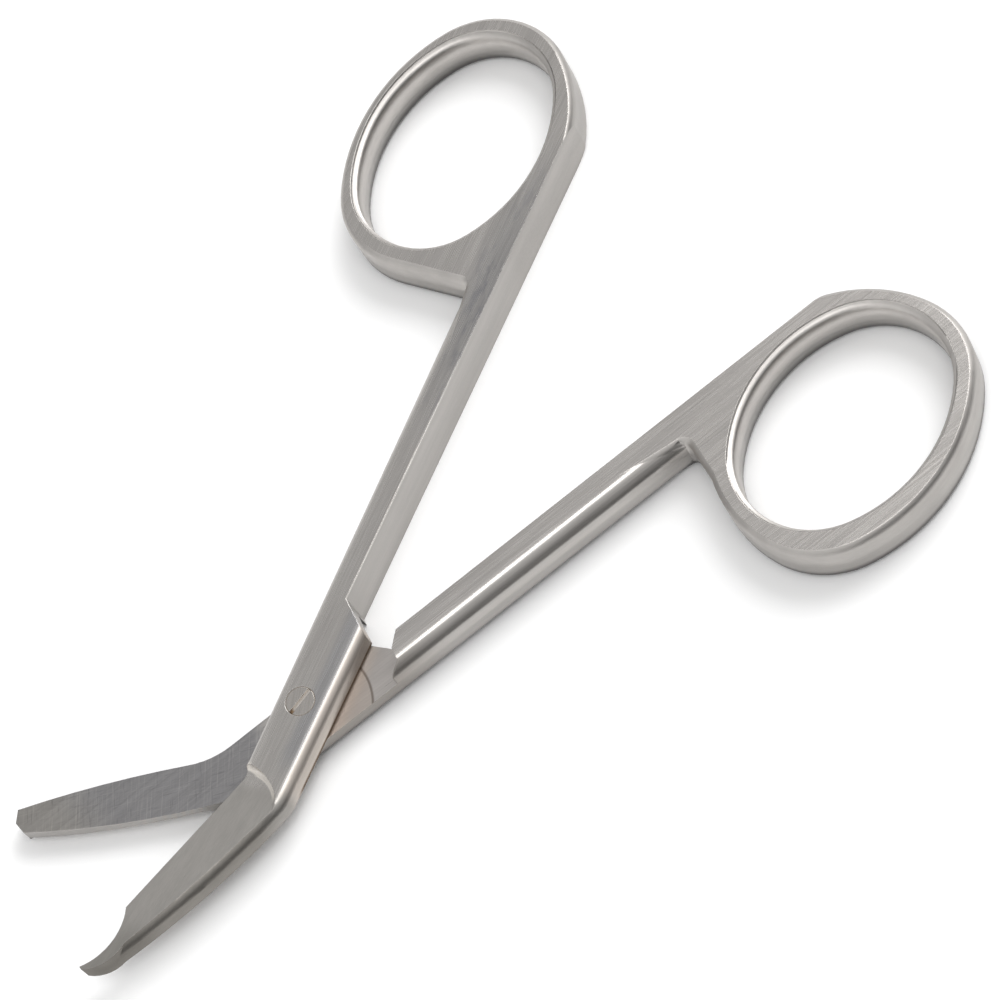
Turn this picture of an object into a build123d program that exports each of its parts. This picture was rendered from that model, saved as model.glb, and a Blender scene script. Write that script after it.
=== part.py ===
from build123d import *
from math import acos, atan2, cos, degrees, radians, sin, sqrt, tan
import os

# Small steel stitch scissors with bent blades, lying flat and standing open.
# Two forged halves cross in a half lap joint and turn on one slotted screw.
#
# All sizes are in millimetres. The origin is on the pivot axis, on the table under the joint.
# +X points midway between the two finger rings, +Z is up.
# Each half is first drawn closed: its shank runs along +X and its blade lies towards -X.
# The hooked half has its ring on the +Y side, the plain half on the -Y side.

# Whole tool
thickness = 5.0
opening = 30.1
lap_gap = 0.04
inner_line = 0.25

# Rounding of the forged edges, and the thin layer ground off both flat faces
ring_round = 0.9
face_trim = 0.1
shank_round = 1.4
back_round = 1.05
crotch_round = 0.6

# Finger rings. The hole is an oval, measured where it meets the flat face. toe, heel, outer and
# inner are the widths of the flat face around it, before the inner side is cut off straight.
# rise is how far the rim's longest line lies outside the hole's, and web how far behind the
# ring's foremost point its web leaves the shank.
hooked_ring = {
    "x": 55.2,
    "y": 10.72,
    "half_length": 11.87,
    "half_width": 9.0,
    "tilt": -6.5,
    "toe": 1.1,
    "heel": 1.1,
    "outer": 0.36,
    "inner": 1.62,
    "rise": 0.0,
    "rim_tilt": -7.2,
    "web": 0.3,
}
plain_ring = {
    "x": 52.6,
    "y": 10.88,
    "half_length": 11.68,
    "half_width": 9.25,
    "tilt": -16.4,
    "toe": 0.9,
    "heel": 1.18,
    "outer": 1.22,
    "inner": 2.27,
    "rise": 1.07,
    "rim_tilt": -20.1,
    "web": 1.0,
}

# Shank and lap, measured from the centre line outwards
hooked_outer = 3.15
hooked_back = 2.75
plain_outer = 3.3
plain_back = 2.2

# On the inner line: where full thickness ends, and the slanted end of the lap plate
hooked_shoulder = 9.8
plain_shoulder = 10.5
shoulder_scoop = 0.4
hooked_lap_end = 10.2
plain_lap_end = 9.2
lap_slant = 50

# Blades
blade_bend = 25.5
grind_angle = 19
grind_round = 0.7
crease_drop = 0.2

# Pivot screw
screw_head = 2.7
screw_head_depth = 1.1
screw_shank = 1.9
head_play = 0.05
shank_play = 0.04
slot_width = 0.36
slot_depth = 0.55

middle = thickness / 2
edge_inset = ring_round - sqrt(ring_round**2 - (ring_round - face_trim) ** 2)


def oval_radii(half_length, upper, lower):
    """The radii of an oval's ends and of its upper and lower side, which join smoothly."""
    radius = upper * sqrt(upper / half_length)
    reach = (half_length - radius) ** 2 - radius**2
    upper_radius = (reach + upper**2) / (2 * (upper - radius))
    lower_radius = (reach + lower**2) / (2 * (lower - radius))
    return radius, upper_radius, lower_radius


def oval(half_length, upper, lower):
    """Four arcs about the origin, long along X; upper and lower are the half widths."""
    radius, upper_radius, lower_radius = oval_radii(half_length, upper, lower)
    end = half_length - radius
    upper_lean = degrees(atan2(upper_radius - upper, end))
    lower_lean = degrees(atan2(lower_radius - lower, end))
    with BuildSketch() as outline:
        with BuildLine():
            CenterArc((end, 0), radius, -lower_lean, lower_lean + upper_lean)
            CenterArc((0, upper - upper_radius), upper_radius, upper_lean, 180 - 2 * upper_lean)
            CenterArc((-end, 0), radius, 180 - upper_lean, lower_lean + upper_lean)
            CenterArc((0, lower_radius - lower), lower_radius, 180 + lower_lean, 180 - 2 * lower_lean)
        make_face()
    return outline.sketch


def hole_plate(ring):
    """A wide plate with the finger hole in it, its edges rounded."""
    half_length = ring["half_length"] - edge_inset
    half_width = ring["half_width"] - edge_inset
    hole = oval(half_length, half_width, half_width)
    with BuildPart() as plate:
        with BuildSketch(Plane.XY.offset(-face_trim)):
            with Locations((ring["x"], ring["y"])):
                Rectangle(6 * half_length, 6 * half_width)
            add(hole.moved(Location((ring["x"], ring["y"], 0), (0, 0, ring["tilt"]))), mode=Mode.SUBTRACT)
        extrude(amount=thickness + 2 * face_trim)
        fillet(edges().filter_by(GeomType.CIRCLE), ring_round)
    return plate.part


def touch_point(start, centre, radius, side):
    """Where a straight line from start touches a circle, on its left (1) or right (-1)."""
    arm = start - centre
    turn = degrees(acos(radius / arm.length))
    return centre + arm.normalized().rotate(Axis.Z, side * turn) * radius


def finger_ring(ring, outer_line):
    """A finger ring with its web and the short neck inside the shank, flat on both faces."""
    rim_length = ring["half_length"] + (ring["toe"] + ring["heel"]) / 2 + edge_inset
    rim_outer = ring["half_width"] + ring["outer"] - ring["rise"] + edge_inset
    rim_inner = ring["half_width"] + ring["inner"] + ring["rise"] + edge_inset
    shift = Vector((ring["toe"] - ring["heel"]) / 2, ring["rise"]).rotate(Axis.Z, ring["tilt"])
    centre = Vector(ring["x"], ring["y"]) + shift

    # Web and neck run straight until they touch the rim, at its heel and at its inner side
    radius, _, inner_radius = oval_radii(rim_length, rim_outer, rim_inner)
    heel = centre - Vector(rim_length - radius, 0).rotate(Axis.Z, ring["rim_tilt"])
    inner = centre + Vector(0, inner_radius - rim_inner).rotate(Axis.Z, ring["rim_tilt"])
    corner = Vector(heel.X - radius + ring["web"], outer_line)
    neck_end = Vector(corner.X - 10, -3)
    web_touch = touch_point(corner, heel, radius, -1)
    neck_touch = touch_point(neck_end, inner, inner_radius, 1)

    rim = oval(rim_length, rim_outer, rim_inner)
    plate = hole_plate(ring)
    with BuildPart() as blank:
        with BuildSketch(Plane.XY.offset(-face_trim)):
            add(rim.moved(Location(centre, (0, 0, ring["rim_tilt"]))))
            with BuildLine():
                Polyline(
                    (web_touch.X, web_touch.Y),
                    (corner.X, corner.Y),
                    (neck_end.X, outer_line - 1.3),
                    (neck_end.X, neck_end.Y),
                    (neck_touch.X, neck_touch.Y),
                    (heel.X, heel.Y),
                    close=True,
                )
            make_face()
            fillet(vertices().sort_by_distance((corner.X, corner.Y, -face_trim))[0], crotch_round)
        extrude(amount=thickness + 2 * face_trim)
        fillet(edges().group_by(Axis.Z)[-1] + edges().group_by(Axis.Z)[0], ring_round)
        split(bisect_by=Plane.XY.offset(thickness), keep=Keep.BOTTOM)
        split(bisect_by=Plane.XY, keep=Keep.TOP)
        add(plate, mode=Mode.INTERSECT)
    return blank.part


def grind_wheel(root, side):
    """The solid ground off a blade: side 1 grinds the upper face, side -1 the lower face."""
    heading = Vector(-cos(radians(blade_bend)), sin(radians(blade_bend)), 0)
    across = Vector(sin(radians(blade_bend)), cos(radians(blade_bend)), 0) * side
    normal = across * sin(radians(grind_angle)) + Vector(0, 0, side * cos(radians(grind_angle)))
    with BuildPart() as wheel:
        with BuildSketch(Plane(root, x_dir=heading, z_dir=normal)):
            with BuildLine():
                run_out = ThreePointArc((1.4, 1.0), (-0.45, -3.1), (1.9, -7))
                Line(run_out @ 1, run_out @ 1 + run_out % 1 * 3)
                Polyline(run_out @ 1 + run_out % 1 * 3, (32, -12), (32, 5), run_out @ 0 - run_out % 0 * 3)
                Line(run_out @ 0 - run_out % 0 * 3, run_out @ 0)
            make_face()
        extrude(amount=6)
        rim = edges().filter_by(GeomType.CIRCLE).sort_by_distance(root)[0]
        fillet(rim, grind_round)
    return wheel.part


def lap_side(side, shoulder_x, level_low, level_high):
    """The space that the other half's lap plate turns in, down to a scooped shoulder."""
    with BuildPart() as space:
        with BuildSketch(Plane.XY.offset(level_low)):
            with BuildLine():
                Polyline(
                    (shoulder_x, -12 * side),
                    (shoulder_x, inner_line * side),
                    (shoulder_x - 1.3, (inner_line + 1.25) * side),
                    (shoulder_x - 1.5, (inner_line + 2.4) * side),
                    (shoulder_x - 3.4, (inner_line + 3.3) * side),
                    (shoulder_x - 3.4, 14 * side),
                    (-40, 14 * side),
                    (-40, -12 * side),
                    close=True,
                )
            make_face()
        extrude(amount=level_high - level_low)
        lap_face = faces().sort_by(Axis.Z)[-1 if side > 0 else 0]
        fillet(lap_face.edges().group_by(Axis.X)[-2:], shoulder_scoop)
    return space.part


def inner_side(side, lap_end):
    """The space between the two shanks, down to the slanted end of the lap plate."""
    with BuildPart() as space:
        with BuildSketch(Plane.XY.offset(-1)):
            with BuildLine():
                Polyline(
                    (lap_end, inner_line * side),
                    (lap_end - 8 / tan(radians(lap_slant)), (inner_line - 8) * side),
                    (80, (inner_line - 8) * side),
                    (80, inner_line * side),
                    close=True,
                )
            make_face()
        extrude(amount=thickness + 2)
    return space.part


# Hooked half, drawn closed: one bar for its shank, lap plate and blade
with BuildPart() as hooked_bar:
    with BuildSketch():
        with BuildLine():
            Line((46, hooked_outer), (-7.4, 2.55))
            Line((-7.4, 2.55), (-28.4, 9.5))
            Line((-28.4, 9.5), (-28.95, 8.5))
            ThreePointArc((-28.95, 8.5), (-28.35, 7.1), (-26.6, 5.75))
            ThreePointArc((-26.6, 5.75), (-18.7, 1.3), (-9.2, -hooked_back))
            Line((-9.2, -hooked_back), (46, -hooked_back))
            Line((46, -hooked_back), (46, hooked_outer))
        make_face()
        fillet(vertices().sort_by_distance((-7.4, 2.55))[0], 8)
        fillet(vertices().sort_by_distance((-9.2, -hooked_back))[0], 2.5)
    extrude(amount=thickness)
    upper_outer = edges().sort_by_distance((20, hooked_outer, thickness))[0]
    lower_outer = edges().sort_by_distance((20, hooked_outer, 0))[0]
    fillet([upper_outer, lower_outer], shank_round)
    upper_back = edges().sort_by_distance((0, -hooked_back, thickness))[0]
    fillet(upper_back, back_round)

hooked_grip = finger_ring(hooked_ring, hooked_outer)
hooked_inner_side = inner_side(1, hooked_lap_end)
hooked_lap_side = lap_side(1, hooked_shoulder, -1, middle + lap_gap / 2)
hooked_grind = grind_wheel((-9.0, -2.45, thickness - crease_drop), 1)

with BuildPart() as hooked_closed:
    add(hooked_bar.part)
    add(hooked_grip)
    add([hooked_inner_side, hooked_lap_side, hooked_grind], mode=Mode.SUBTRACT)
    # Hook: a crescent cut out of the cutting edge, down to a blunt claw
    with BuildSketch():
        with BuildLine():
            ThreePointArc((-22.4, 7.45), (-25.3, 6.85), (-28.9, 9.0))
            Polyline((-28.9, 9.0), (-31, 11), (-28, 14), (-21, 10), (-22.4, 7.45))
        make_face()
    extrude(amount=thickness, mode=Mode.SUBTRACT)
    with Locations((0, 0, thickness)):
        CounterBoreHole(
            radius=screw_shank / 2 + shank_play,
            counter_bore_radius=screw_head / 2 + head_play,
            counter_bore_depth=screw_head_depth + 0.03,
        )

# Plain half, drawn closed
with BuildPart() as plain_bar:
    with BuildSketch():
        with BuildLine():
            Line((44, -plain_outer), (-4, -plain_outer))
            ThreePointArc((-4, -plain_outer), (-7.4, -2.95), (-10.6, -1.95))
            ThreePointArc((-10.6, -1.95), (-18.7, 2.5), (-26.95, 8.35))
            Line((-26.95, 8.35), (-31, 9))
            Line((-31, 9), (-31, 12.4))
            ThreePointArc((-31, 12.4), (-18.5, 7.1), (-9.6, plain_back))
            Line((-9.6, plain_back), (44, plain_back))
            Line((44, plain_back), (44, -plain_outer))
        make_face()
        fillet(vertices().sort_by_distance((-9.6, plain_back))[0], 8)
    extrude(amount=thickness)
    upper_outer = edges().sort_by_distance((20, -plain_outer, thickness))[0]
    lower_outer = edges().sort_by_distance((20, -plain_outer, 0))[0]
    fillet([upper_outer, lower_outer], shank_round)
    lower_back = edges().sort_by_distance((0, plain_back, 0))[0]
    fillet(lower_back, back_round)

plain_grip = finger_ring(plain_ring, plain_outer).mirror(Plane.XZ)
plain_inner_side = inner_side(-1, plain_lap_end)
plain_lap_side = lap_side(-1, plain_shoulder, middle - lap_gap / 2, thickness + 1)
plain_grind = grind_wheel((-10.6, 2.5, crease_drop), -1)

with BuildPart() as plain_closed:
    add(plain_bar.part)
    add(plain_grip)
    add([plain_inner_side, plain_lap_side, plain_grind], mode=Mode.SUBTRACT)
    # Blunt tip
    with BuildSketch():
        Polygon((-26.95, 8.35), (-27.05, 9.6), (-26.1, 10.7), (-27, 16), (-34, 16), (-34, 6), align=None)
    extrude(amount=thickness, mode=Mode.SUBTRACT)
    with Locations((0, 0, thickness)):
        Hole(radius=screw_shank / 2)

# Both halves opened by the same angle
with BuildPart() as hooked_half:
    add(hooked_closed.part, rotation=(0, 0, opening / 2))

with BuildPart() as plain_half:
    add(plain_closed.part, rotation=(0, 0, -opening / 2))

# Pivot screw, filed flush on both faces
with BuildPart() as pivot_screw:
    with BuildSketch():
        Circle(screw_shank / 2)
    extrude(amount=thickness)
    with BuildSketch(Plane.XY.offset(thickness - screw_head_depth)):
        Circle(screw_head / 2)
    extrude(amount=screw_head_depth)
    with BuildSketch(Plane.XY.offset(thickness - slot_depth)):
        Rectangle(screw_head + 1, slot_width)
    extrude(amount=slot_depth, mode=Mode.SUBTRACT)

os.makedirs("parts", exist_ok=True)
hooked_half.part.label = "hooked_half"
plain_half.part.label = "plain_half"
pivot_screw.part.label = "pivot_screw"
export_step(hooked_half.part, "parts/hooked_half.step")
export_step(plain_half.part, "parts/plain_half.step")
export_step(pivot_screw.part, "parts/pivot_screw.step")
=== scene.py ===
from math import cos, pi, radians, sin
from types import SimpleNamespace

import bpy
from mathutils import Matrix, Vector


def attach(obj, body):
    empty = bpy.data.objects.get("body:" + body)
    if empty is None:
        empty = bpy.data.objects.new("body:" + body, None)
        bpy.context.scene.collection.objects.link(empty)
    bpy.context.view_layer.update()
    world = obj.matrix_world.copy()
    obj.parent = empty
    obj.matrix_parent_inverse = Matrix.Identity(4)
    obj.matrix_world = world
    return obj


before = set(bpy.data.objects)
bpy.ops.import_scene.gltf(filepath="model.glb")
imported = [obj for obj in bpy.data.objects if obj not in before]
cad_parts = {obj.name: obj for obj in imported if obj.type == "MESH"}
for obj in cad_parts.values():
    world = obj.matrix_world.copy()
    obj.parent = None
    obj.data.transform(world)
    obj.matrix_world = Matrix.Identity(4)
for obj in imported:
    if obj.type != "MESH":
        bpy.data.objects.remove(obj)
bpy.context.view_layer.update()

MM = 0.001
UP = Vector((0.0, 0.0, 1.0))

# The object's own layout in millimetres and degrees from +X, with the pivot at the origin
HOOKED_TURN = 15.05
PLAIN_TURN = -15.05
SLOT_TURN = 32.0
HOOKED_RING = (50.52, 24.69)
PLAIN_RING = (47.97, -24.17)
RING_REACH = (13.6, 15.2)
SHOULDER = (9.0, 9.6)
GRIND_START = (-5.8, -6.6)
TOP = 5.0
LAP = 2.5

# Steel: its colours, and the painted shade that makes its walls darker than its faces and darkest
# along their foot
STEEL = (0.58, 0.555, 0.53)
SCREW_STEEL = (0.56, 0.53, 0.50)
WALL_SHADE = 0.76
HOLE_SHADE = 1.17
STRAIGHT_WALL_LOSS = -0.08
FOOT_SHADE_LOSS = -0.82
FOOT = (1.5, 0.5)
LEAST_ROUGHNESS = 0.18
EDGE_RADIUS = 0.12

# Barrelled walls, as slopes in the shading: outer walls lean in above the foot of the crown
CROWN_FOOT = 2.3
CROWN_DEPTH = 0.8
HOLE_WAIST = 2.4
HOLE_FLARE = 0.17
RIM_CROWN_LOSS = -0.35

# Table and light; a side of the room is (turn, rise, fades in from, full at, added level)
TABLE_SIZE = 4.0
TABLE_LEVEL = -0.03
TABLE_GREY = (0.75, 0.75, 0.75, 1.0)
WHITE = (1.0, 1.0, 1.0, 1.0)
ROOM_LEVEL = 0.58
ROOM_SIDES = (
    (-125.0, 30.0, 0.40, 0.95, 0.45),
    (70.0, 30.0, 0.60, 0.98, 0.55),
    (15.0, 6.0, 0.93, 0.99, 0.8),
    (20.0, 60.0, 0.80, 0.99, -0.10),
)
DARK_SIDE = (152.0, 0.0, 0.42, 0.72, -0.85)
DARK_SIDE_TOP = (0.64, 0.46)

# The photograph's view: the pivot on the top face is seen at this pixel of 1000 by 1000
IMAGE_PX = 1000.0
FOCAL_PX = 4300.0
PIVOT_PX = (300.2, 701.1)
DISTANCE = 378.4 * MM
AZIMUTH = 17.54
ELEVATION = 60.0
ROLL = 36.0


def heading(turn):
    """The level direction that stands turn degrees from +X."""
    return Vector((cos(radians(turn)), sin(radians(turn)), 0.0))


# Node helpers


class Shader:
    """A node tree, with short calls for the nodes used here."""

    def __init__(self, tree):
        self.tree = tree
        tree.nodes.clear()

    def add(self, kind, values=None, links=None, **settings):
        node = self.tree.nodes.new(kind)
        for name, value in settings.items():
            setattr(node, name, value)
        for key, value in (values or {}).items():
            node.inputs[key].default_value = value
        for key, socket in (links or {}).items():
            self.tree.links.new(socket, node.inputs[key])
        return node

    def feed(self, node, inputs):
        """Each input gets a plain value or a link."""
        for key, value in inputs.items():
            if isinstance(value, (int, float, tuple)):
                node.inputs[key].default_value = value
            else:
                self.tree.links.new(value, node.inputs[key])
        return node

    def math(self, operation, a, b=0.0, c=0.0):
        node = self.add("ShaderNodeMath", operation=operation)
        return self.feed(node, {0: a, 1: b, 2: c}).outputs[0]

    def product(self, *values):
        result = values[0]
        for value in values[1:]:
            result = self.math("MULTIPLY", result, value)
        return result

    def plus(self, base, mask, amount):
        """base, and amount more where the mask is 1."""
        return self.math("MULTIPLY_ADD", mask, amount, base)

    def inverse(self, mask):
        return self.math("SUBTRACT", 1.0, mask)

    def band(self, value, low, high):
        """0 at low, 1 at high, smooth between them; low may be the larger one."""
        return self.add(
            "ShaderNodeMapRange",
            {"From Min": low, "From Max": high, "To Min": 0.0, "To Max": 1.0},
            {"Value": value},
            interpolation_type="SMOOTHSTEP",
        ).outputs["Result"]

    def noise(self, vector, detail, roughness):
        return self.add(
            "ShaderNodeTexNoise",
            {"Scale": 1.0, "Detail": detail, "Roughness": roughness},
            {"Vector": vector},
        ).outputs["Fac"]

    def stretch(self, vector, turn, size=(1.0, 1.0, 1.0), shift=(0.0, 0.0, 0.0)):
        """Coordinates turned back by turn degrees and moved by shift, in units of size millimetres."""
        turned = self.add(
            "ShaderNodeMapping",
            {"Rotation": (0.0, 0.0, radians(-turn)), "Location": tuple(v * MM for v in shift)},
            {"Vector": vector},
        )
        return self.add(
            "ShaderNodeMapping",
            {"Scale": tuple(1.0 / (s * MM) for s in size)},
            {"Vector": turned.outputs[0]},
        ).outputs[0]

    def dot(self, vector, direction):
        return self.add(
            "ShaderNodeVectorMath",
            {1: tuple(direction)},
            {0: vector},
            operation="DOT_PRODUCT",
        ).outputs["Value"]

    def parts(self, vector):
        return self.add("ShaderNodeSeparateXYZ", links={0: vector}).outputs

    def radius(self, x, y):
        return self.math("SQRT", self.math("ADD", self.product(x, x), self.product(y, y)))

    def blend(self, factor, a, b):
        """A number between a and b."""
        node = self.add("ShaderNodeMix", data_type="FLOAT")
        return self.feed(node, {0: factor, 2: a, 3: b}).outputs[0]

    def mix(self, factor, a, b):
        """A colour between a and b."""
        node = self.add("ShaderNodeMix", data_type="RGBA")
        return self.feed(node, {0: factor, 6: a, 7: b}).outputs[2]

    def multiply(self, colour, factor):
        node = self.add("ShaderNodeMix", {0: 1.0}, data_type="RGBA", blend_type="MULTIPLY")
        return self.feed(node, {6: colour, 7: factor}).outputs[2]

    def grey(self, level):
        return self.add("ShaderNodeCombineColor", links={0: level, 1: level, 2: level}).outputs[0]


# Steel


def shape_masks(s, here, normal, turn, ring, inner):
    """Which parts of a piece are walls, and which walls are polished, barrelled or ground.

    upright is 1 where the face is level. ring is the finger ring's centre, None for the screw.
    inner is the side of the shank with the straight wall, -1 for -Y and 1 for +Y.
    """
    upright = s.math("ABSOLUTE", s.parts(normal)[2])
    along = s.dot(here, heading(turn))
    ground = s.product(
        s.band(along, GRIND_START[0] * MM, GRIND_START[1] * MM), s.band(upright, 0.88, 0.92)
    )
    masks = SimpleNamespace(
        upright=upright,
        wall=s.inverse(s.band(upright, 0.80, 0.94)),
        barrel=s.inverse(ground),
        near_ring=0.0,
        hole=0.0,
        outer_rim=0.0,
        straight=0.0,
    )
    if ring:
        x, y, _ = s.parts(s.stretch(here, turn, shift=turned_back(ring, turn)))
        masks.near_ring = s.product(s.inverse(s.band(s.radius(x, y), *RING_REACH)), masks.wall)
        from_centre = s.add(
            "ShaderNodeVectorMath",
            {1: (ring[0] * MM, ring[1] * MM, 0.0)},
            {0: here},
            operation="SUBTRACT",
        ).outputs[0]
        facing = s.add(
            "ShaderNodeVectorMath",
            links={0: from_centre, 1: normal},
            operation="DOT_PRODUCT",
        ).outputs["Value"]
        masks.hole = s.product(masks.near_ring, s.band(facing, 0.0, -2.0 * MM))
        masks.outer_rim = s.product(masks.near_ring, s.band(facing, 0.0, 2.0 * MM))
        sideways = s.dot(normal, heading(turn + 90.0) * inner)
        masks.straight = s.product(
            s.band(sideways, 0.3, 0.6),
            s.band(along, SHOULDER[0] * MM, SHOULDER[1] * MM),
            s.inverse(masks.hole),
        )
        masks.barrel = s.product(
            masks.barrel,
            s.inverse(masks.straight),
            s.plus(1.0, masks.outer_rim, RIM_CROWN_LOSS),
        )
    return masks


def turned_back(centre, turn):
    """The shift that puts centre at the origin of coordinates turned back by turn degrees."""
    x = cos(radians(turn)) * centre[0] + sin(radians(turn)) * centre[1]
    y = cos(radians(turn)) * centre[1] - sin(radians(turn)) * centre[0]
    return (-x, -y, 0.0)


def rubbed_round(s, here, turn, ring):
    """Brush lines that run round the finger ring, on its walls."""
    lines_per_radian = 2.2
    line_width = 0.16
    x, y, z = s.parts(s.stretch(here, turn, shift=turned_back(ring, turn)))
    around = s.feed(
        s.add("ShaderNodeCombineXYZ"),
        {
            0: s.product(s.math("ARCTAN2", y, x), lines_per_radian),
            1: s.math("DIVIDE", s.radius(x, y), line_width),
            2: s.math("DIVIDE", z, line_width),
        },
    )
    return s.noise(around.outputs[0], 3.0, 0.6)


def barrelled_normal(s, here, masks):
    """Softened edges, and walls that lean inward towards the top as if slightly barrelled."""
    soft_edge = s.add("ShaderNodeBevel", {"Radius": EDGE_RADIUS * MM}, samples=4).outputs[0]
    level = s.parts(here)[2]
    above = s.math("SUBTRACT", level, HOLE_WAIST * MM)
    flared = s.product(above, above, HOLE_FLARE / MM)
    crown = s.product(s.band(level, CROWN_FOOT * MM, TOP * MM), CROWN_DEPTH * MM)
    bulged = s.add(
        "ShaderNodeBump",
        {"Strength": 1.0, "Distance": 1.0},
        {"Height": s.product(s.blend(masks.hole, crown, flared), -1.0), "Normal": soft_edge},
    ).outputs[0]
    shaped = s.add(
        "ShaderNodeMix", data_type="VECTOR", links={0: masks.barrel, 4: soft_edge, 5: bulged}
    )
    return s.add(
        "ShaderNodeVectorMath", links={0: shaped.outputs[1]}, operation="NORMALIZE"
    ).outputs[0]


def steel(name, turn, details, ring=None, inner=0, tone=STEEL):
    """Satin stainless steel.

    The flat faces are brushed along the direction turn, and the walls of the finger ring are
    polished round it. details(s, here, normal) gives more layers, each a mask with its colour
    factor and what it adds to the roughness.
    """
    material = bpy.data.materials.new(name)
    material.use_nodes = True
    s = Shader(material.node_tree)
    place = s.add("ShaderNodeTexCoord")
    here = place.outputs["Object"]
    normal = place.outputs["Normal"]
    masks = shape_masks(s, here, normal, turn, ring, inner)

    # Long brush lines along the shank, short slanting ones over them, wide streaks and clouds
    grain = s.noise(s.stretch(here, turn, (7.0, 0.15, 0.15)), 3.0, 0.6)
    if ring:
        grain = s.blend(masks.near_ring, grain, rubbed_round(s, here, turn, ring))
    fine = s.noise(s.stretch(here, turn - 24.0, (1.1, 0.075, 0.075)), 2.0, 0.6)
    streak = s.noise(s.stretch(here, turn, (26.0, 1.5, 1.5)), 1.0, 0.5)
    cloud = s.noise(s.stretch(here, turn, (9.0, 3.0, 3.0), (3.0, 0.0, 0.0)), 3.0, 0.6)
    scratch = s.noise(s.stretch(here, turn + 9.0, (5.0, 0.11, 0.11)), 1.0, 0.4)

    shade = 1.0
    for layer, depth in ((grain, 0.26), (fine, 0.13), (streak, 0.22), (cloud, 0.16)):
        shade = s.plus(shade, s.math("SUBTRACT", layer, 0.5), depth)
    shade = s.plus(shade, s.band(scratch, 0.69, 0.76), 0.06)

    # Painted shade: walls are darker than the faces, and darkest along the foot, standing in for the
    # shadowed table that they reflect
    foot_shade = s.product(
        s.band(s.parts(here)[2], FOOT[0] * MM, FOOT[1] * MM),
        s.band(masks.upright, 0.97, 0.8),
        s.inverse(masks.straight),
    )
    shade = s.product(
        shade,
        s.blend(masks.wall, 1.0, WALL_SHADE),
        s.plus(1.0, masks.straight, STRAIGHT_WALL_LOSS),
        s.plus(1.0, foot_shade, FOOT_SHADE_LOSS),
        s.blend(masks.hole, 1.0, HOLE_SHADE),
    )

    roughness = s.plus(LEAST_ROUGHNESS, grain, 0.16)
    for mask, added in ((masks.outer_rim, 0.10), (masks.wall, 0.085), (masks.hole, 0.05)):
        roughness = s.plus(roughness, mask, added)

    colour = s.multiply(tone + (1.0,), s.grey(shade))
    for mask, factor, added in details(s, here, normal):
        colour = s.mix(mask, colour, s.multiply(colour, factor + (1.0,)))
        roughness = s.plus(roughness, mask, added)

    height = s.plus(s.product(grain, 0.55), fine, 0.45)
    height = s.plus(height, streak, 1.6)
    height = s.product(height, s.plus(1.0, masks.wall, -0.6))
    bump = s.add(
        "ShaderNodeBump",
        {"Strength": 0.25, "Distance": 0.02 * MM},
        {"Height": height, "Normal": barrelled_normal(s, here, masks)},
    )
    tangent = s.add(
        "ShaderNodeVectorTransform",
        {"Vector": heading(turn)},
        vector_type="VECTOR",
        convert_from="OBJECT",
        convert_to="WORLD",
    )
    shader = s.add(
        "ShaderNodeBsdfPrincipled",
        {"Metallic": 1.0, "Anisotropic": 0.45},
        {
            "Base Color": colour,
            "Roughness": roughness,
            "Normal": bump.outputs[0],
            "Tangent": tangent.outputs[0],
        },
    )
    s.add("ShaderNodeOutputMaterial", links={"Surface": shader.outputs[0]})
    return material


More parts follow.
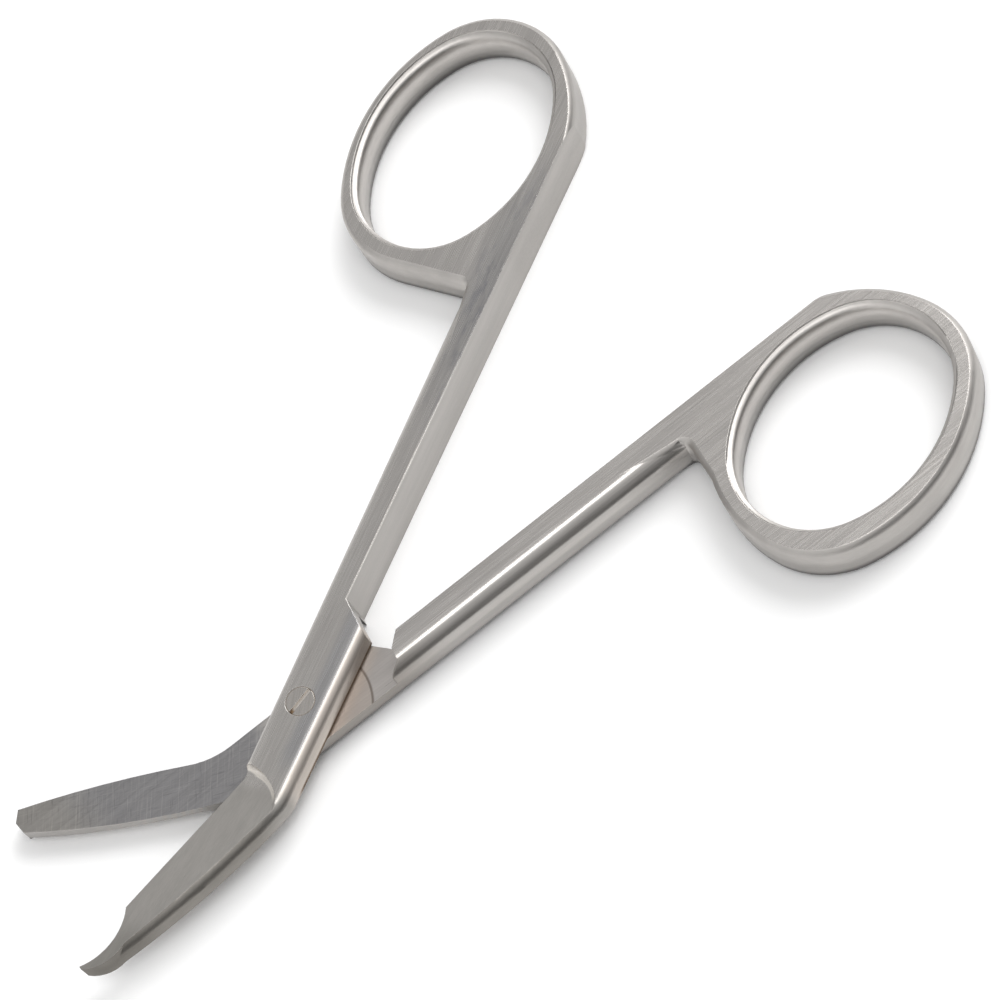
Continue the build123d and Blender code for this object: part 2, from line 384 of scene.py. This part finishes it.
def hooked_details(s, here, normal):
    """The burnished web, the ground blade and its tip, and painted light and shade: a darker bluish
    band along the lap, painted shade in the slit and on the blade's back, a lighter lap back wall, and
    painted highlights on the crease and the grind's step.

    x runs along the shank from the pivot to the ring, y across it, z up, all in millimetres.
    """
    x, y, z = s.parts(s.stretch(here, HOOKED_TURN))
    nz = s.parts(normal)[2]
    top = s.band(nz, 0.9, 0.98)

    web = s.product(s.band(x, 22.0, 41.0), s.band(x, 60.0, 43.0), s.band(y, 4.2, 1.0), top)
    blots = s.noise(s.stretch(here, HOOKED_TURN, (3.2, 0.9, 0.9), (1.0, 0.0, 0.0)), 3.0, 0.65)
    blots = s.product(web, s.band(blots, 0.5, 0.66))
    # Painted shade: a darker bluish band along the lap beside the screw
    streak = s.product(
        s.band(y, -0.2, -1.2),
        s.band(y, -2.6, -1.7),
        top,
        s.band(x, -7.5, -4.0),
        s.band(x, 24.0, 10.0),
    )
    # Painted highlight: a bright thin line along the crease at the top of the straight inner wall
    off_crease = s.math("ABSOLUTE", s.math("SUBTRACT", y, 0.25))
    crease_highlight = s.product(
        s.band(off_crease, 0.15, 0.05),
        s.band(z, 4.80, 4.93),
        s.band(x, 9.8, 10.5),
        s.band(x, 44.0, 24.0),
    )
    # Painted light: the lap's back wall lighter and warmer, taking back part of the painted wall shade
    # there
    side = s.product(
        s.band(x, -9.5, -7.0),
        s.band(x, 10.2, 9.4),
        s.band(y, -1.7, -2.2),
        s.band(nz, 0.97, 0.85),
    )
    # Painted shade: a dark brownish line in the slit between the two halves along the lap's back
    slit_shade = s.product(
        s.band(z, 2.95, 2.66),
        s.band(nz, 0.6, 0.3),
        s.band(x, -8.0, -6.5),
        s.band(x, 9.8, 8.8),
        s.band(y, -2.2, -2.5),
    )
    blade = s.product(s.band(x, -7.6, -9.0), s.band(nz, 0.98, 0.955))
    # Painted highlight: a bright band on the slope where the blade's grind steps down from the lap
    step_highlight = s.product(
        s.band(x, -9.5, -8.6),
        s.band(x, -6.4, -7.0),
        s.band(nz, 0.93, 0.86),
        s.band(z, 3.3, 3.5),
        s.band(y, -2.4, -1.8),
    )
    tip = s.band(x, -22.5, -25.5)
    # Painted shade: the blade's back wall darker, for the dark reflections along it
    spine_shade = s.product(s.band(x, -9.0, -13.0), s.band(nz, 0.92, 0.84))
    return (
        (web, (0.80, 0.81, 0.83), 0.0),
        (blots, (0.78, 0.79, 0.83), 0.0),
        (streak, (0.83, 0.85, 0.89), 0.0),
        (side, (1.25, 1.19, 1.13), 0.12),
        (slit_shade, (0.34, 0.27, 0.21), 0.2),
        (crease_highlight, (1.7, 1.7, 1.7), 0.0),
        (blade, (0.80, 0.80, 0.79), 0.06),
        (step_highlight, (1.8, 1.78, 1.73), 0.1),
        (tip, (0.78, 0.78, 0.77), 0.04),
        (spine_shade, (0.72, 0.71, 0.69), 0.0),
    )


def plain_details(s, here, normal):
    """The blade's inner face, cross-ground and darker, and the lap that the other half rubs."""
    x, y, z = s.parts(s.stretch(here, PLAIN_TURN))
    nz = s.parts(normal)[2]
    inner = s.product(s.band(nz, 0.9, 0.98), s.band(z, LAP + 0.12, LAP + 0.05))
    blade = s.product(inner, s.band(x, -3.5, -5.5))
    blue = s.product(blade, s.band(x, -24.0, -19.0))
    light_one, dark_one, light_two, dark_two = (
        s.band(s.noise(s.stretch(here, turn, size, (shift, 0.0, 0.0)), 2.0, 0.6), low, high)
        for turn, size, shift, low, high in (
            (39.5, (5.0, 0.12, 0.12), 0.0, 0.54, 0.72),
            (43.0, (3.0, 0.20, 0.20), 5.0, 0.60, 0.72),
            (-41.0, (5.0, 0.12, 0.12), 2.0, 0.54, 0.74),
            (-40.0, (2.4, 0.22, 0.22), 7.0, 0.56, 0.74),
        )
    )
    light = s.product(blade, s.math("MAXIMUM", light_one, s.product(light_two, 0.7)))
    dark = s.product(blade, s.math("MAXIMUM", dark_one, dark_two))

    lap = s.product(inner, s.band(x, -3.5, -2.0))
    radius = s.radius(x, y)
    worn = s.product(lap, s.band(radius, 5.9, 5.7))
    arc = s.product(lap, s.band(radius, 5.72, 5.86), s.band(radius, 6.1, 5.92))
    # Painted shade: the wall under the lap darker
    side = s.product(
        s.band(x, -5.0, -3.0),
        s.band(x, 15.0, 7.0),
        s.band(y, -1.7, -2.2),
        s.band(nz, 0.97, 0.85),
    )
    return (
        (blade, (0.60, 0.60, 0.595), 0.12),
        (blue, (0.86, 0.88, 0.94), 0.0),
        (light, (1.24, 1.23, 1.21), 0.0),
        (dark, (0.82, 0.82, 0.83), 0.0),
        (lap, (0.90, 0.885, 0.885), 0.05),
        (worn, (1.0, 0.95, 0.91), 0.0),
        (arc, (0.50, 0.46, 0.43), 0.0),
        (side, (0.72, 0.70, 0.68), 0.05),
    )


def screw_details(s, here, normal):
    """The slot's lighter floor, dirt in its end and a brownish line round the head."""
    x, y, z = s.parts(s.stretch(here, 0.0))
    slot = s.band(z, 4.99, 4.95)
    stain = s.product(s.band(x, -0.8, -1.15), s.band(s.math("ABSOLUTE", y), 0.25, 0.12))
    rim = s.band(s.radius(x, y), 1.30, 1.34)
    return (
        (slot, (1.35, 1.33, 1.30), 0.15),
        (stain, (0.42, 0.31, 0.21), 0.2),
        (rim, (0.62, 0.56, 0.50), 0.2),
    )


looks = {
    "hooked_half": steel("hooked_steel", HOOKED_TURN, hooked_details, HOOKED_RING, inner=-1),
    "plain_half": steel("plain_steel", PLAIN_TURN, plain_details, PLAIN_RING, inner=1),
    "pivot_screw": steel("screw_steel", SLOT_TURN, screw_details, tone=SCREW_STEEL),
}
for node, look in looks.items():
    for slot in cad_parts[node].material_slots:
        slot.material = look


# Screw: its burred rim nearly closes the gap round the head, and its slot is half filed away

RIM_SIDES = 72
RIM_RADII = (1.335, 1.388)
RIM_LEVEL = 4.985
SLOT_LENGTH = 2.6
SLOT_WIDTH = 0.35
SLOT_LEVELS = (4.91, 4.87)


def flat_piece(name, points, faces):
    """A thin piece of the screw from points in millimetres; it rides with the lower half."""
    mesh = bpy.data.meshes.new(name)
    mesh.from_pydata([tuple(c * MM for c in point) for point in points], [], faces)
    mesh.materials.append(looks["pivot_screw"])
    piece = bpy.data.objects.new(name, mesh)
    bpy.context.collection.objects.link(piece)
    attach(piece, "lower")


turns = [2.0 * pi * i / RIM_SIDES for i in range(RIM_SIDES)]
flat_piece(
    "screw_burr",
    [(r * cos(a), r * sin(a), RIM_LEVEL) for r in RIM_RADII for a in turns],
    [
        (i, i + RIM_SIDES, (i + 1) % RIM_SIDES + RIM_SIDES, (i + 1) % RIM_SIDES)
        for i in range(RIM_SIDES)
    ],
)
flat_piece(
    "slot_floor",
    [
        (-SLOT_LENGTH / 2, -SLOT_WIDTH / 2, SLOT_LEVELS[0]),
        (SLOT_LENGTH / 2, -SLOT_WIDTH / 2, SLOT_LEVELS[0]),
        (SLOT_LENGTH / 2, SLOT_WIDTH / 2, SLOT_LEVELS[1]),
        (-SLOT_LENGTH / 2, SLOT_WIDTH / 2, SLOT_LEVELS[1]),
    ],
    [(0, 1, 2, 3)],
)


# Table


def table_material():
    """A plain white table that keeps the object's shadow and shows white to the camera."""
    material = bpy.data.materials.new("floor_white")
    material.use_nodes = True
    s = Shader(material.node_tree)
    path = s.add("ShaderNodeLightPath")
    seen = s.math("MAXIMUM", path.outputs["Is Camera Ray"], path.outputs["Is Glossy Ray"])
    seen = s.math("MAXIMUM", seen, path.outputs["Is Transmission Ray"])
    colour = s.mix(seen, TABLE_GREY, WHITE)
    surface = s.add("ShaderNodeBsdfDiffuse", links={"Color": colour})
    s.add("ShaderNodeOutputMaterial", links={"Surface": surface.outputs[0]})
    return material


bpy.ops.mesh.primitive_plane_add(size=TABLE_SIZE, location=(0.0, 0.0, TABLE_LEVEL * MM))
floor = bpy.context.object
floor.name = "floor"
floor.data.materials.append(table_material())


# Light: two soft boxes in a grey room that is lighter on some sides and dark behind the camera

view_right = Vector((cos(radians(AZIMUTH)), -sin(radians(AZIMUTH)), 0.0))
view_away = Vector((sin(radians(AZIMUTH)), cos(radians(AZIMUTH)), 0.0))


def toward(turn, rise):
    """A direction: turn degrees to the right of straight away from the camera, rise above level."""
    level = view_away * cos(radians(turn)) + view_right * sin(radians(turn))
    return level * cos(radians(rise)) + UP * sin(radians(rise))


def soft_box(name, direction, distance, width, depth, radiance):
    """A rectangular light in metres, seen from the object as a surface of this radiance."""
    light = bpy.data.lights.new(name, "AREA")
    light.shape = "RECTANGLE"
    light.size, light.size_y = width, depth
    light.energy = radiance * pi * width * depth
    lamp = bpy.data.objects.new(name, light)
    lamp.location = Vector((0.02, 0.0, 0.0)) + direction * distance
    lamp.rotation_euler = direction.to_track_quat("Z", "Y").to_euler()
    bpy.context.collection.objects.link(lamp)


def room():
    """The world: grey light on the object, plain white to the camera."""
    world = bpy.data.worlds.new("studio")
    bpy.context.scene.world = world
    world.use_nodes = True
    w = Shader(world.node_tree)
    outward = w.add("ShaderNodeTexCoord").outputs["Generated"]
    level = ROOM_LEVEL
    for turn, rise, low, high, added in ROOM_SIDES:
        level = w.plus(level, w.band(w.dot(outward, toward(turn, rise)), low, high), added)
    turn, rise, low, high, loss = DARK_SIDE
    dark_side = w.product(
        w.band(w.dot(outward, toward(turn, rise)), low, high),
        w.band(w.dot(outward, UP), *DARK_SIDE_TOP),
    )
    level = w.product(level, w.plus(1.0, dark_side, loss))
    studio = w.add("ShaderNodeBackground", {"Strength": 1.0}, {"Color": w.grey(level)})
    white = w.add("ShaderNodeBackground", {"Color": WHITE, "Strength": 1.0})
    path = w.add("ShaderNodeLightPath")
    sky = w.add(
        "ShaderNodeMixShader",
        links={0: path.outputs["Is Camera Ray"], 1: studio.outputs[0], 2: white.outputs[0]},
    )
    w.add("ShaderNodeOutputWorld", links={"Surface": sky.outputs[0]})


soft_box("key", toward(68.0, 48.0), distance=0.75, width=0.42, depth=0.42, radiance=4.8)
soft_box("overhead", toward(168.0, 74.0), distance=0.70, width=0.34, depth=0.20, radiance=3.2)
room()


# Camera

view_down = -view_away * sin(radians(ELEVATION)) - UP * cos(radians(ELEVATION))
view_in = view_away * cos(radians(ELEVATION)) - UP * sin(radians(ELEVATION))
image_right = view_right * cos(radians(ROLL)) + view_down * sin(radians(ROLL))
image_down = view_down * cos(radians(ROLL)) - view_right * sin(radians(ROLL))
to_pivot = (
    image_right * ((PIVOT_PX[0] - IMAGE_PX / 2) / FOCAL_PX)
    + image_down * ((PIVOT_PX[1] - IMAGE_PX / 2) / FOCAL_PX)
    + view_in
)
camera_data = bpy.data.cameras.new("camera")
camera_data.sensor_width = 36.0
camera_data.lens = camera_data.sensor_width * FOCAL_PX / IMAGE_PX
camera = bpy.data.objects.new("camera", camera_data)
axes = Matrix((image_right, -image_down, -view_in)).transposed().to_4x4()
camera.matrix_world = Matrix.Translation(UP * TOP * MM - to_pivot * DISTANCE) @ axes
bpy.context.collection.objects.link(camera)
bpy.context.scene.camera = camera
bpy.context.scene.view_settings.view_transform = "Standard"
